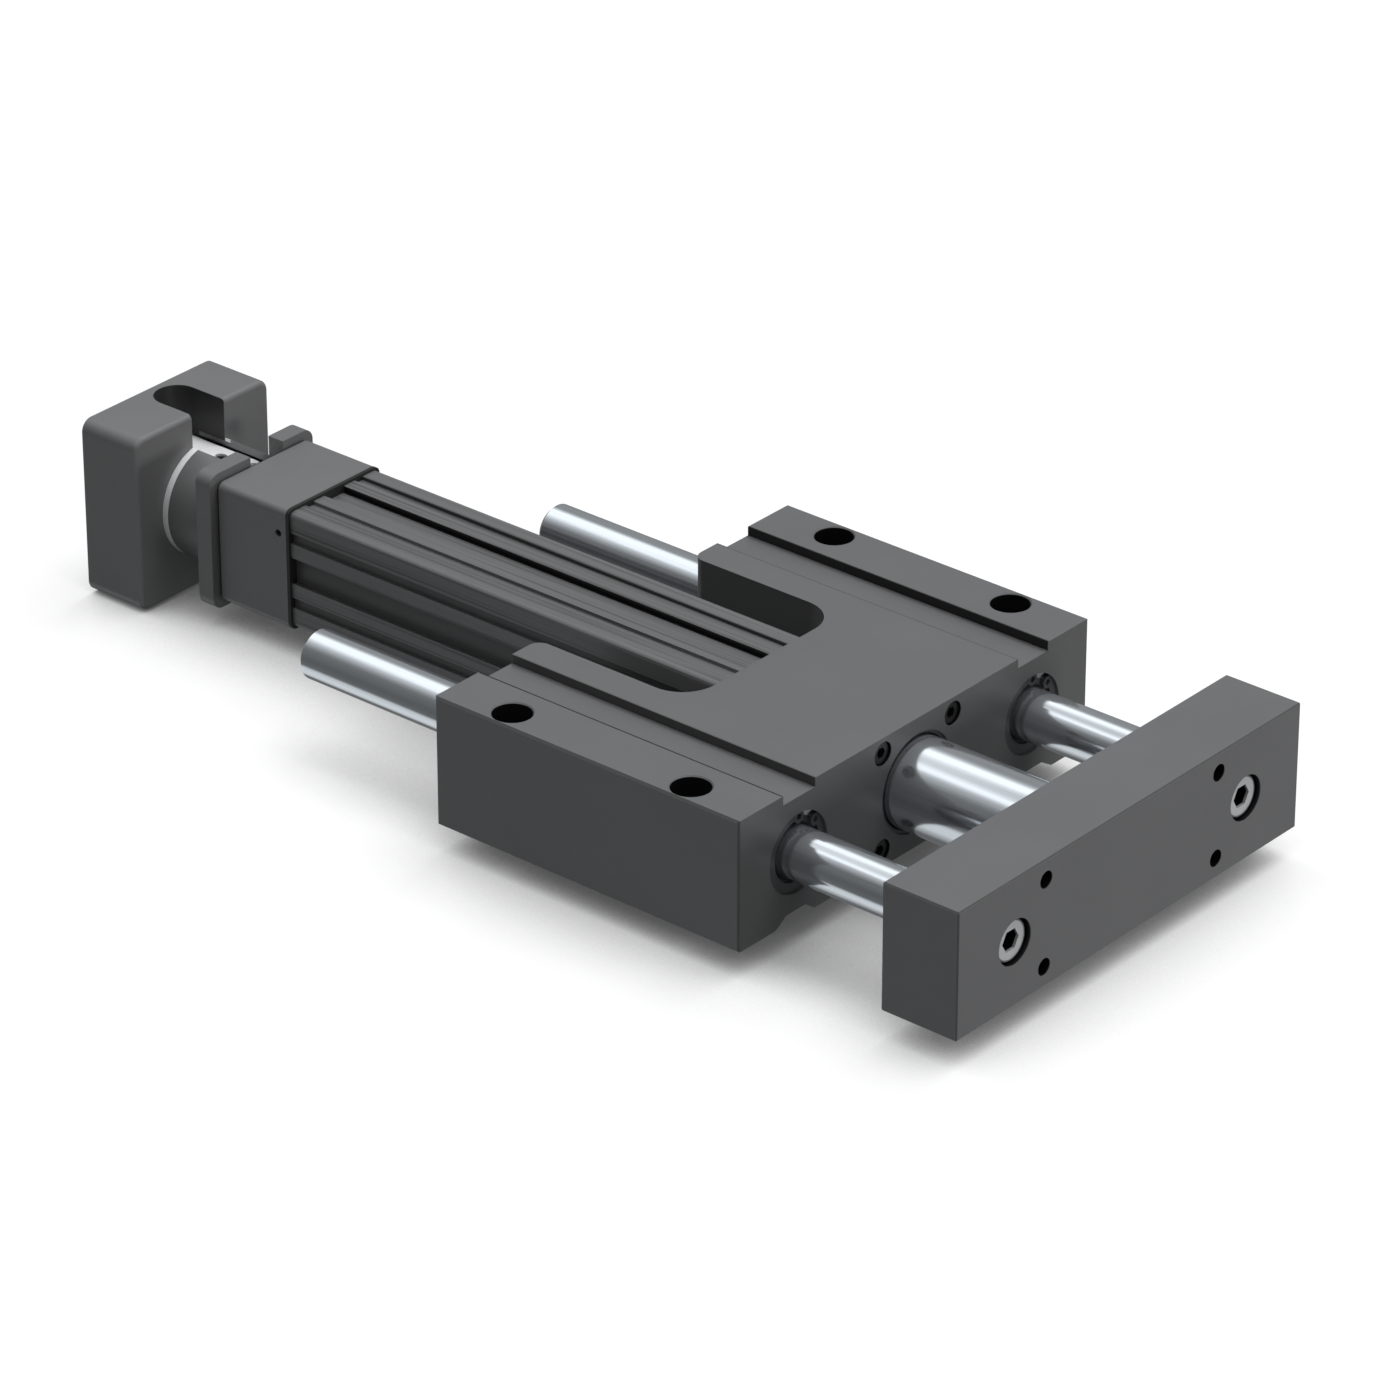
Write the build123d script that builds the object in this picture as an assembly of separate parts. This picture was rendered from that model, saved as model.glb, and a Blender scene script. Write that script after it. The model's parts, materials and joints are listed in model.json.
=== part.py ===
"""Guided rod electric actuator: guide block, ball-screw tube, guide rods and tool plate.

X runs along the rods towards the tool plate, Y across the block, Z up from its mounting face.
The origin is the centre of the block's four mounting holes on that face. Lengths are millimetres.
The carriage stands at mid stroke, and every turned piece lies at its working place.
"""
import math
import os

from build123d import *

os.makedirs("parts", exist_ok=True)

# Fits, all radial or per face
running_gap = 0.05
screw_gap = 0.05
seat_gap = 0.05
joint_gap = 0.1
head_gap = 0.5

# Socket cap screws, as shares of the thread diameter
head_share = 1.5
head_extra = 1.0
hex_share = 0.8
hex_depth_share = 0.55
thread_engagement = 15.0

# Extruded tube
tube_side = 49.0
tube_length = 213.5
tube_bore_d = 40.0
tube_corner = 2.5
centre_slot_width = 11.0
centre_slot_depth = 2.8
centre_slot_undercut = 0.8
side_slot_offset = 11.5
side_slot_width = 4.5
side_slot_depth = 1.4
tube_screw_offset = 20.0
tube_screw_d = 5.0

# Guide block
slot_clearance = 19.0
slot_depth = 71.5
slot_corner = 15.0
slot_mouth_round = 5.0
front_web = 71.5
arm_wall = 7.5
rail_width = 17.0
cover_wall = 10.5
pad_width = 14.5
relief_floor = 15.5
relief_slope = 6.0
relief_top_width = 17.8
relief_depth = 3.7
relief_round = 2.0
block_chamfer = 0.8
mount_hole_spacing = 84.0
mount_hole_edge = 9.0
mount_hole_d = 9.0
mount_head_d = 15.0
mount_head_depth = 9.0
mount_hole_chamfer = 0.6

# Linear ball bushings and their retaining rings
guide_rod_d = 20.0
bushing_share = 1.6
bushing_length = 42.0
bushing_wall_share = 0.43
bushing_groove_width = 1.4
bushing_groove_depth = 0.7
bushing_groove_share = 0.14
cage_track_count = 5
cage_track_share_r = 0.27
cage_track_share = 0.7
wiper_lip_share = 0.2
wiper_length = 3.0
wiper_recess = 0.4
ring_edge = 1.0
ring_thickness = 1.2
ring_groove_depth = 0.8
ring_band = 4.4
ring_ear_r = 2.5
ring_ear_hole_r = 1.2
ring_ear_angle = 5.0
ring_ear_inset = 0.6
ring_taper = 0.5
ring_gap_angle = 34.0
ring_open_angle = 62.0

# Guide rods and tool plate
rod_tail = 90.0
rod_chamfer = 1.8
rest_gap = 63.5
plate_thickness = 33.5
plate_side_inset = 1.0
plate_edge_inset = 0.75
plate_chamfer = 0.6
rod_seat_depth = 8.0
rod_front_chamfer = 0.5
plate_screw_d = 10.0
plate_head_pocket_d = 18.0
plate_head_depth = 12.0
plate_screw_grip = 22.0
tap_reserve = 2.0
tool_hole_spacing_y = 100.0
tool_hole_spacing_z = 35.0
tool_hole_d = 6.8
tool_hole_depth = 22.0

# Thrust rod, its bushes and seals
thrust_rod_d = 36.0
thrust_bore_d = 22.0
tip_end_gap = 2.0
thrust_seat_depth = 2.0
thrust_chamfer = 1.0
stud_d = 20.0
stud_grip = 22.0
stud_end_gap = 1.0
bush_length = 28.25
bush_spacing = 5.0
rod_seal_length = 5.0
rod_wiper_length = 4.0
seal_lip = 0.9
seal_edge = 1.0
head_sink = 1.0

# Stroke, nut and carrier
travel_out = 82.0
travel_in = 58.0
stop_gap = 1.0
bumper_length = 4.0
bumper_rod_gap = 0.4
bumper_nut_gap = 1.0
carrier_length = 30.0
carrier_gap = 0.3
carrier_nose_length = 12.0
carrier_nose_d = 28.0
wear_ring_length = 8.0
wear_ring_depth = 2.2
wear_ring_offset = 6.0
magnet_ring_length = 5.0
magnet_ring_offset = 19.0
nut_d = 28.0
nut_flange_d = 37.0
nut_flange_thickness = 8.0
nut_front_length = 16.0
nut_rear_length = 16.0
nut_flat_depth = 1.0
screw_d = 16.0
screw_pass_gap = 0.6
tip_reach = 17.5
tip_bush_length = 9.0
tip_bush_gap = 0.3
tip_step = 1.5
journal_chamfer = 0.5

# Bearing housing
gasket_thickness = 1.5
gasket_overhang = 0.2
housing_side = 51.0
housing_corner = 3.0
housing_length = 35.0
housing_spigot = 6.0
housing_front_wall = 8.0
housing_screw_pass = 1.5
bearing_od = 32.0
bearing_bore = 12.0
bearing_width = 10.0
bearing_count = 2
bearing_ring_wall = 3.2
ball_r = 2.4
clamp_ring_length = 6.0
clamp_ring_wall = 3.6
clamp_slot_depth = 2.0
clamp_slot_width = 3.0
locknut_length = 7.0
locknut_od = 22.0
locknut_slot_width = 3.5
locknut_slot_depth = 1.6
grub_d = 3.0
grub_length = 4.0
grub_from_front = 4.0
grub_above_axis = 14.5
grub_hex = 1.5
grub_hex_depth = 1.5
grub_sink = 0.6

# Coupling housing, centring ring and motor mount
flange_seal_thickness = 1.4
flange_seal_inset = 1.5
flange_side = 57.5
flange_corner = 5.0
flange_thickness = 7.5
flange_bore_d = 26.0
neck_wall = 2.75
neck_tail_wall = 1.5
neck_tail_length = 14.0
neck_length = 20.5
neck_head_gap = 0.2
flange_head_sink = 2.0
centring_length = 2.8
window_width = 18.0
window_offset = 3.0
flange_notch_floor = 18.0
mount_side = 74.0
mount_corner = 5.0
mount_thickness = 28.7
mount_edge_round = 2.0
slot_rear_wall = 3.0
pilot_d = 50.0
pilot_depth = 2.5
motor_bolt_circle = 70.0
motor_hole_d = 4.2
motor_hole_depth = 14.0
mount_screw_d = 5.0
mount_screw_hex = 2.5
mount_screw_hex_depth = 3.0
mount_screw_length = 8.0
mount_screw_from_front = 7.0

# Coupling
coupling_d = 40.0
coupling_clearance = 1.0
coupling_rear_gap = 0.5
motor_hub_length = 15.0
spider_length = 10.0
screw_hub_length = 20.0
hub_chamfer = 1.0
motor_shaft_d = 14.0
journal_d = 10.0
journal_end_gap = 2.0
jaw_count = 3
jaw_core_share = 0.45
jaw_turn = 24.0
spider_leg_angle = 14.0
spider_bore_share = 0.2
spider_rim_gap = 0.5
spider_leg_gap = 0.5
hub_screw_d = 5.0
hub_screw_hex = 2.5
hub_screw_hex_depth = 2.5
hub_screw_sink = 1.0

# Sizes that follow from others
bushing_od = bushing_share * guide_rod_d
bushing_inner = guide_rod_d / 2 + running_gap
bushing_outer = bushing_od / 2 - seat_gap
bushing_depth = bushing_outer - bushing_inner
cage_outer = bushing_outer - bushing_wall_share * bushing_depth - seat_gap
neck_bore_d = coupling_d + 2 * coupling_clearance
neck_tail_d = neck_bore_d + 2 * neck_tail_wall
neck_d = neck_bore_d + 2 * neck_wall

# Places along X
bushing_bore_wall = bushing_od / 2 + arm_wall
rod_y = tube_side / 2 + slot_clearance + bushing_bore_wall
slot_half = tube_side / 2 + slot_clearance
block_width = 2 * (rod_y + bushing_od / 2 + rail_width)
block_height = bushing_od + 2 * cover_wall
block_length = slot_depth + front_web
axis_z = block_height / 2
block_rear = -block_length / 2
block_front = block_length / 2
slot_wall = block_rear + slot_depth
tube_rear = slot_wall - tube_length
housing_front = tube_rear - gasket_thickness
housing_rear = housing_front - housing_length
flange_front = housing_rear - flange_seal_thickness
flange_rear = flange_front - flange_thickness
neck_rear = flange_rear - neck_length
mount_front = neck_rear - centring_length
mount_rear = mount_front - mount_thickness
plate_rear = block_front + rest_gap
plate_front = plate_rear + plate_thickness
rod_rear = block_rear - rod_tail
rod_front = plate_rear + rod_seat_depth
thrust_front = plate_rear + thrust_seat_depth
bumper_face = slot_wall - bumper_length
carrier_front = bumper_face - travel_out - stop_gap
carrier_rear = carrier_front - carrier_length
thrust_rear = carrier_front
tip_front = slot_wall + tip_reach
bearing_front = housing_front - housing_front_wall
bearing_rear = bearing_front - bearing_count * bearing_width
locknut_rear = bearing_rear - locknut_length
hub_rear = mount_rear + pilot_depth + coupling_rear_gap
jaw_rear = hub_rear + motor_hub_length
jaw_front = jaw_rear + spider_length
hub_front = jaw_front + screw_hub_length
journal_rear = jaw_front + journal_end_gap

parts = {}


def section(x, y=0.0, z=None):
    """Plane across the X axis, centred on the given line (the actuator's axis if no z is given)."""
    return Plane(origin=(x, y, axis_z if z is None else z), x_dir=(0, 1, 0), z_dir=(1, 0, 0))


def bar(x0, x1, radius, y=0.0, z=None):
    """Round bar along X."""
    return extrude(section(x0, y, z) * Circle(radius), x1 - x0)


def sleeve(x0, x1, outer, inner, y=0.0, z=None):
    """Round tube along X."""
    return extrude(section(x0, y, z) * (Circle(outer) - Circle(inner)), x1 - x0)


def turned(points, y=0.0, z=None):
    """Solid turned about a line along X from (x, radius) corners."""
    outline = make_face(Polyline(*points, close=True))
    return Pos(0, y, axis_z if z is None else z) * revolve(outline, Axis.X)


def square_bar(x0, x1, side, corner):
    """Square bar with rounded corners on the actuator's axis."""
    return extrude(section(x0) * RectangleRounded(side, side, corner), x1 - x0)


def cross_places(offset):
    """The four places of a square screw pattern about the actuator's axis."""
    return [(y, axis_z + z) for y in (-offset, offset) for z in (-offset, offset)]


def head_d(thread_d):
    """Head diameter of a socket cap screw."""
    return head_share * thread_d + head_extra


def cap_screw(seat_x, tip_x, thread_d, y, z):
    """Socket cap screw along X: its head stands on seat_x, away from tip_x."""
    out = 1 if seat_x > tip_x else -1
    top = seat_x + out * thread_d
    hex_depth = hex_depth_share * thread_d
    hex_x = min(top, top - out * hex_depth)
    shank = bar(min(seat_x, tip_x), max(seat_x, tip_x), thread_d / 2, y, z)
    head = bar(min(seat_x, top), max(seat_x, top), head_d(thread_d) / 2, y, z)
    socket = extrude(section(hex_x, y, z) * RegularPolygon(hex_share * thread_d / 2, 6, False), hex_depth)
    return shank + head - socket


def wedge(reach, start, end):
    """Flat wedge from the axis between two angles in degrees, under a half turn wide."""
    corners = [(reach * math.cos(math.radians(a)), reach * math.sin(math.radians(a))) for a in (start, end)]
    return make_face(Polyline((0, 0), corners[0], corners[1], close=True))


def guide_block():
    """Milled block: bay for the tube, relief grooves, bushing bores and mounting holes."""
    pad_edge = slot_half + pad_width
    floor_edge = pad_edge + relief_floor
    rim = floor_edge + relief_slope
    wall = pad_edge + relief_top_width
    top = block_height / 2
    floor = top - relief_depth
    upper = [(pad_edge, top), (pad_edge, floor), (wall, floor), (wall, top)]
    lower = [(pad_edge, -top), (pad_edge, -floor), (floor_edge, -floor), (rim, -top)]
    profile = Rectangle(block_width, block_height)
    for outline in (upper, lower):
        groove = make_face(Polyline(*outline, close=True))
        profile -= groove
        profile -= mirror(groove, Plane.YZ)
    low = [v for v in profile.vertices() if v.Y < 0]
    bends = [v for v in low if floor_edge - 0.01 < abs(v.X) < rim + 0.01]
    profile = fillet(bends, relief_round)
    body = extrude(section(block_rear) * profile, block_length)
    bay_x = block_rear + slot_depth / 2
    bay = Pos(bay_x, 0, axis_z) * Box(slot_depth, 2 * slot_half, 2 * block_height)
    body -= fillet([e for e in bay.edges().filter_by(Axis.Z) if e.center().X > bay_x], slot_corner)
    mouth = [e for e in body.edges().filter_by(Axis.Z)
             if abs(e.center().X - block_rear) < 0.01 and abs(abs(e.center().Y) - slot_half) < 0.01]
    body = fillet(mouth, slot_mouth_round)
    outer = [e for e in body.edges().filter_by(Axis.Z) if abs(abs(e.center().Y) - block_width / 2) < 0.01]
    outer += [e for e in body.edges().filter_by(Axis.X) if abs(abs(e.center().Y) - block_width / 2) < 0.01]
    body = chamfer(outer, block_chamfer)
    for side in (-1, 1):
        body -= bar(block_rear, block_front, bushing_od / 2, side * rod_y)
        for x in (block_rear + ring_edge, block_front - ring_edge - ring_thickness):
            body -= bar(x, x + ring_thickness, bushing_od / 2 + ring_groove_depth, side * rod_y)
        for x in (-mount_hole_spacing / 2, mount_hole_spacing / 2):
            hole_y = side * (block_width / 2 - mount_hole_edge)
            body -= Pos(x, hole_y, axis_z) * Cylinder(mount_hole_d / 2, 2 * block_height)
            head_z = block_height - mount_head_depth / 2
            body -= Pos(x, hole_y, head_z) * Cylinder(mount_head_d / 2, mount_head_depth)
            rim = Cone(mount_head_d / 2, mount_head_d / 2 + mount_hole_chamfer, mount_hole_chamfer)
            body -= Pos(x, hole_y, block_height - mount_hole_chamfer / 2) * rim
    body -= bar(slot_wall, block_front, thrust_rod_bore_r)
    for y, z in cross_places(tube_screw_offset):
        body -= bar(slot_wall, block_front, tube_screw_d / 2 + screw_gap, y, z)
        body -= bar(front_screw_seat, block_front, head_d(tube_screw_d) / 2 + head_gap, y, z)
    return body


def actuator_tube():
    """Extruded square tube: dovetail slot and two shallow grooves on each face, four screw channels."""
    half = tube_side / 2
    mouth = centre_slot_width / 2
    floor_half = mouth + centre_slot_undercut
    floor = half - centre_slot_depth
    outline = [(-mouth, half), (mouth, half), (floor_half, floor), (-floor_half, floor)]
    dovetail = make_face(Polyline(*outline, close=True))
    groove = Rectangle(side_slot_width, 2 * side_slot_depth)
    groove = Pos(side_slot_offset + side_slot_width / 2, half) * groove
    profile = RectangleRounded(tube_side, tube_side, tube_corner)
    for turn in range(4):
        profile -= Rot(0, 0, 90 * turn) * dovetail
        profile -= Rot(0, 0, 90 * turn) * groove
        profile -= Rot(0, 0, 90 * turn) * mirror(groove, Plane.YZ)
    profile -= Circle(tube_bore_d / 2)
    for y in (-tube_screw_offset, tube_screw_offset):
        for z in (-tube_screw_offset, tube_screw_offset):
            profile -= Pos(y, z) * Circle(tube_screw_d / 2 + screw_gap)
    return extrude(section(tube_rear) * profile, tube_length)


def bushing(x0, y):
    """Outer sleeve of a linear bushing with its two ring grooves."""
    body = sleeve(x0, x0 + bushing_length, bushing_outer, cage_outer + seat_gap, y)
    for place in (bushing_groove_share, 1 - bushing_groove_share):
        x = x0 + place * bushing_length - bushing_groove_width / 2
        body -= sleeve(x, x + bushing_groove_width, bushing_od, bushing_outer - bushing_groove_depth, y)
    return body


def bushing_cage(x0, y):
    """Ball cage of a linear bushing, with its ball tracks as long grooves in the bore."""
    cover = wiper_recess + wiper_length
    inside = (x0 + cover, x0 + bushing_length - cover)
    body = sleeve(inside[0], inside[1], cage_outer, bushing_inner, y)
    track_length = cage_track_share * (inside[1] - inside[0])
    track_x = (inside[0] + inside[1] - track_length) / 2
    for i in range(cage_track_count):
        angle = math.radians(360 / cage_track_count * i + 90)
        track_y = y + bushing_inner * math.cos(angle)
        track_z = axis_z + bushing_inner * math.sin(angle)
        body -= bar(track_x, track_x + track_length, cage_track_share_r * bushing_depth, track_y, track_z)
    return body


def bushing_wiper(x0, y):
    """End wiper of a linear bushing, with a thin lip towards the rod."""
    x1 = x0 + wiper_length
    lip = bushing_inner + wiper_lip_share * bushing_depth
    middle = (x0 + x1) / 2
    return turned([(x0, cage_outer), (x0, lip), (middle, bushing_inner), (x1, lip), (x1, cage_outer)], y)


def retaining_ring(x0, y, facing):
    """Internal retaining ring with two ears, lying in its groove."""
    outer = bushing_od / 2 + ring_groove_depth - seat_gap
    band = Circle(outer) - Pos(ring_taper, 0) * Circle(outer - ring_band)
    band -= wedge(2 * outer, -ring_gap_angle / 2, ring_gap_angle / 2)
    ear_place = outer - ring_ear_r - ring_ear_inset
    for side in (-1, 1):
        angle = math.radians(side * (ring_gap_angle / 2 + ring_ear_angle))
        spot = Pos(ear_place * math.cos(angle), ear_place * math.sin(angle))
        band += spot * Circle(ring_ear_r)
        band -= spot * Circle(ring_ear_hole_r)
    turn = ring_open_angle if facing > 0 else 180 - ring_open_angle
    return extrude(section(x0, y) * (Rot(0, 0, turn) * band), ring_thickness)


def tool_plate():
    """Rectangular plate with seats for the rods, two screw pockets and four tapped holes."""
    width = block_width - 2 * plate_side_inset
    height = block_height - 2 * plate_edge_inset
    body = extrude(section(plate_rear) * Rectangle(width, height), plate_thickness)
    body = chamfer(body.edges(), plate_chamfer)
    for side in (-1, 1):
        body -= bar(plate_rear, rod_front, guide_rod_d / 2 + seat_gap, side * rod_y)
        body -= bar(plate_rear, plate_front, plate_screw_d / 2 + screw_gap, side * rod_y)
        body -= bar(plate_front - plate_head_depth, plate_front, plate_head_pocket_d / 2, side * rod_y)
    for y in (-tool_hole_spacing_y / 2, tool_hole_spacing_y / 2):
        for z in (-tool_hole_spacing_z / 2, tool_hole_spacing_z / 2):
            body -= bar(plate_front - tool_hole_depth, plate_front, tool_hole_d / 2, y, axis_z + z)
    body -= bar(plate_rear, thrust_front, thrust_rod_d / 2 + seat_gap)
    body -= bar(plate_rear, thrust_front + stud_grip, stud_d / 2 + screw_gap)
    return body


def guide_rod(y):
    """Hardened rod with chamfered ends and a tapped hole for the plate screw."""
    r = guide_rod_d / 2
    tail = rod_rear + rod_chamfer
    outline = [(rod_rear, 0), (rod_rear, r - rod_chamfer), (tail, r), (rod_front - rod_front_chamfer, r),
               (rod_front, r - rod_front_chamfer), (rod_front, 0)]
    tap_end = rod_front - plate_screw_grip - tap_reserve
    return turned(outline, y) - bar(tap_end, rod_front, plate_screw_d / 2 + screw_gap, y)


def thrust_rod():
    """Hollow thrust rod: the screw runs in its bore, the stud holds its front end."""
    r = thrust_rod_d / 2
    nose_r = carrier_nose_d / 2 + screw_gap
    bore_r = thrust_bore_d / 2
    bore_end = tip_front + travel_in + tip_end_gap + bore_r / 2
    nose_end = thrust_rear + carrier_nose_length + joint_gap
    outline = [(thrust_rear, nose_r), (thrust_rear, r), (thrust_front - thrust_chamfer, r),
               (thrust_front, r - thrust_chamfer), (thrust_front, 0), (bore_end, 0),
               (bore_end - bore_r / 2, bore_r), (nose_end, bore_r), (nose_end, nose_r)]
    return turned(outline) - bar(thrust_front - stud_grip - tap_reserve, thrust_front, stud_d / 2 + screw_gap)


def nut_carrier():
    """Piston that carries the nut and screws into the thrust rod, with grooves for its rings."""
    outer = tube_bore_d / 2 - carrier_gap
    floor = outer - wear_ring_depth
    nose = carrier_nose_d / 2
    pocket = nut_d / 2 + seat_gap
    pass_r = screw_d / 2 + screw_pass_gap
    pocket_end = carrier_rear + nut_front_length + joint_gap
    outline = [(carrier_rear, pocket), (carrier_rear, outer)]
    for offset, length in ((wear_ring_offset, wear_ring_length), (magnet_ring_offset, magnet_ring_length)):
        start = carrier_rear + offset
        outline += [(start, outer), (start, floor), (start + length, floor), (start + length, outer)]
    outline += [(carrier_front, outer), (carrier_front, nose), (carrier_front + carrier_nose_length, nose),
                (carrier_front + carrier_nose_length, pass_r), (pocket_end, pass_r), (pocket_end, pocket)]
    return turned(outline)


def carrier_ring(offset, length, gap):
    """Closed ring seated in one of the carrier's grooves."""
    floor = tube_bore_d / 2 - carrier_gap - wear_ring_depth
    x0 = carrier_rear + offset
    return sleeve(x0 + joint_gap, x0 + length - joint_gap, tube_bore_d / 2 - gap, floor + seat_gap)


def ball_nut():
    """Flanged ball nut with two flats on its flange."""
    inner = screw_d / 2 + running_gap
    flange_x0 = carrier_rear - nut_flange_thickness
    body_x0 = flange_x0 - nut_rear_length
    r = nut_d / 2
    flange_r = nut_flange_d / 2
    front_x = carrier_rear + nut_front_length
    outline = [(body_x0, inner), (body_x0, r), (flange_x0, r), (flange_x0, flange_r),
               (carrier_rear, flange_r), (carrier_rear, r), (front_x, r), (front_x, inner)]
    body = turned(outline)
    for side in (-1, 1):
        flat = Box(nut_flange_thickness, nut_flange_d, 2 * nut_flat_depth)
        body -= Pos((flange_x0 + carrier_rear) / 2, 0, axis_z + side * flange_r) * flat
    return body


def ball_screw():
    """Screw with its bearing seat and coupling journal."""
    r = screw_d / 2
    seat = bearing_bore / 2
    journal = journal_d / 2
    tip_r = r - tip_step
    tip_x = tip_front - tip_bush_length
    outline = [(journal_rear, 0), (journal_rear, journal - journal_chamfer),
               (journal_rear + journal_chamfer, journal), (locknut_rear, journal), (locknut_rear, seat),
               (bearing_front, seat), (bearing_front, r), (tip_x, r), (tip_x, tip_r), (tip_front, tip_r),
               (tip_front, 0)]
    return turned(outline)


def screw_tip_bush():
    """Polymer bush that steadies the screw's free end inside the thrust rod."""
    return sleeve(tip_front - tip_bush_length + joint_gap, tip_front, thrust_bore_d / 2 - tip_bush_gap,
                  screw_d / 2 - tip_step + seat_gap)


def bearing_ring(index, outer_ring):
    """Outer or inner ring of one screw bearing, with the ball track turned in."""
    x0 = bearing_rear + index * bearing_width
    x1 = x0 + bearing_width
    middle = (x0 + x1) / 2
    if outer_ring:
        r = bearing_od / 2 - seat_gap
        body = sleeve(x0 + joint_gap, x1 - joint_gap, r, r - bearing_ring_wall)
    else:
        r = bearing_bore / 2 + seat_gap
        body = sleeve(x0 + joint_gap, x1 - joint_gap, r + bearing_ring_wall, r)
    pitch_r = (bearing_od + bearing_bore) / 4
    track = revolve(Pos(middle, pitch_r) * Circle(ball_r), Axis.X)
    return body - Pos(0, 0, axis_z) * track


def bearing_clamp_ring():
    """Threaded ring that holds the outer rings in the housing."""
    x1 = bearing_rear
    outer = bearing_od / 2 - seat_gap
    body = sleeve(x1 - clamp_ring_length, x1, outer, outer - clamp_ring_wall)
    for angle in (0, 90):
        slot = Rot(angle, 0, 0) * Box(clamp_slot_depth, bearing_od, clamp_slot_width)
        body -= Pos(x1 - clamp_ring_length + clamp_slot_depth / 2, 0, axis_z) * slot
    return body


def bearing_locknut():
    """Slotted nut on the screw behind the bearings."""
    body = sleeve(locknut_rear, bearing_rear, locknut_od / 2, bearing_bore / 2 + screw_gap)
    reach = (locknut_od - locknut_slot_depth) / 2
    slot = Pos(0, reach, 0) * Box(locknut_length, locknut_slot_depth, locknut_slot_width)
    for angle in (0, 90, 180, 270):
        body -= Pos((locknut_rear + bearing_rear) / 2, 0, axis_z) * Rot(angle, 0, 0) * slot
    return body


def bearing_housing():
    """Square housing with the bearing bore at the rear and a spigot that centres the tube."""
    body = square_bar(housing_rear, housing_front, housing_side, housing_corner)
    spigot_end = tube_rear + housing_spigot
    body += bar(housing_front, spigot_end, tube_bore_d / 2 - seat_gap)
    body -= bar(housing_rear, bearing_front, bearing_od / 2)
    body -= bar(bearing_front, spigot_end, screw_d / 2 + housing_screw_pass)
    for y, z in cross_places(tube_screw_offset):
        body -= bar(housing_rear, housing_front, tube_screw_d / 2 + screw_gap, y, z)
    hole = Pos(grub_x, -housing_side / 2 + grub_length / 2, grub_z) * Rot(90, 0, 0)
    return body - hole * Cylinder(grub_d / 2 + screw_gap, grub_length)


def grease_screw():
    """Grub screw that closes the grease hole in the housing's side."""
    depth = grub_length - grub_sink
    face_y = -housing_side / 2 + grub_sink
    body = Pos(grub_x, face_y + depth / 2, grub_z) * Rot(90, 0, 0) * Cylinder(grub_d / 2, depth)
    socket = extrude(Plane.XZ * RegularPolygon(grub_hex / 2, 6, False), -grub_hex_depth)
    return body - Pos(grub_x, face_y, grub_z) * socket


def frame_gasket(x0, x1, side, bore_r):
    """Flat square gasket with holes for the tube screws."""
    body = square_bar(x0, x1, side, housing_corner) - bar(x0, x1, bore_r)
    for y, z in cross_places(tube_screw_offset):
        body -= bar(x0, x1, tube_screw_d / 2 + screw_gap, y, z)
    return body


def window(x0, x1, floor):
    """Access slot over the coupling, cut from above down to a height over the axis."""
    cut = Box(x1 - x0, window_width, mount_side)
    return Pos((x0 + x1) / 2, window_offset, axis_z + floor + mount_side / 2) * cut


def coupling_housing():
    """Square flange, round neck and the tail that enters the motor mount, open over the coupling."""
    tail_rear = mount_front - neck_tail_length
    body = square_bar(flange_rear, flange_front, flange_side, flange_corner)
    body += bar(neck_rear, flange_rear, neck_d / 2)
    body += bar(tail_rear, neck_rear, neck_tail_d / 2)
    body -= bar(tail_rear, flange_rear, neck_bore_d / 2)
    body -= bar(flange_rear, flange_front, flange_bore_d / 2)
    body -= window(tail_rear, flange_rear, 0)
    body -= window(flange_rear, flange_front, flange_notch_floor)
    for y, z in cross_places(tube_screw_offset):
        body -= bar(flange_rear, flange_front, tube_screw_d / 2 + screw_gap, y, z)
        body -= bar(neck_rear, flange_head_seat, head_d(tube_screw_d) / 2 + neck_head_gap, y, z)
    return body


def centring_ring():
    """Polished ring on the neck's tail, between the neck's shoulder and the motor mount."""
    body = sleeve(mount_front, neck_rear, neck_d / 2, neck_tail_d / 2 + seat_gap)
    return body - window(mount_front, neck_rear, 0)


def motor_mount():
    """Thick square plate with the motor's pilot recess and the coupling's access slot."""
    tail_rear = mount_front - neck_tail_length
    body = square_bar(mount_rear, mount_front, mount_side, mount_corner)
    body = fillet(body.faces().sort_by(Axis.X)[-1].edges(), mount_edge_round)
    body -= bar(mount_rear, mount_front, neck_bore_d / 2)
    body -= bar(mount_rear, mount_rear + pilot_depth, pilot_d / 2)
    body -= bar(tail_rear - joint_gap, mount_front, neck_tail_d / 2 + seat_gap)
    slot_end = mount_rear + slot_rear_wall + window_width / 2
    body -= window(slot_end, mount_front, 0)
    slot_round = Cylinder(window_width / 2, mount_side)
    body -= Pos(slot_end, window_offset, axis_z + mount_side / 2) * slot_round
    for turn in mount_screw_turns:
        body -= radial_bar(mount_screw_x, neck_tail_d / 2, mount_side, mount_screw_d / 2 + screw_gap, turn)
    for y, z in cross_places(motor_bolt_circle / 2 / math.sqrt(2)):
        body -= bar(mount_rear, mount_rear + motor_hole_depth, motor_hole_d / 2, y, z)
    return body


def radial_bar(x, low, high, radius, turn):
    """Round bar that points away from the axis, turned about it from straight up, in degrees."""
    body = Pos(0, 0, (low + high) / 2) * Cylinder(radius, high - low)
    return Pos(x, 0, axis_z) * Rot(turn, 0, 0) * body


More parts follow.
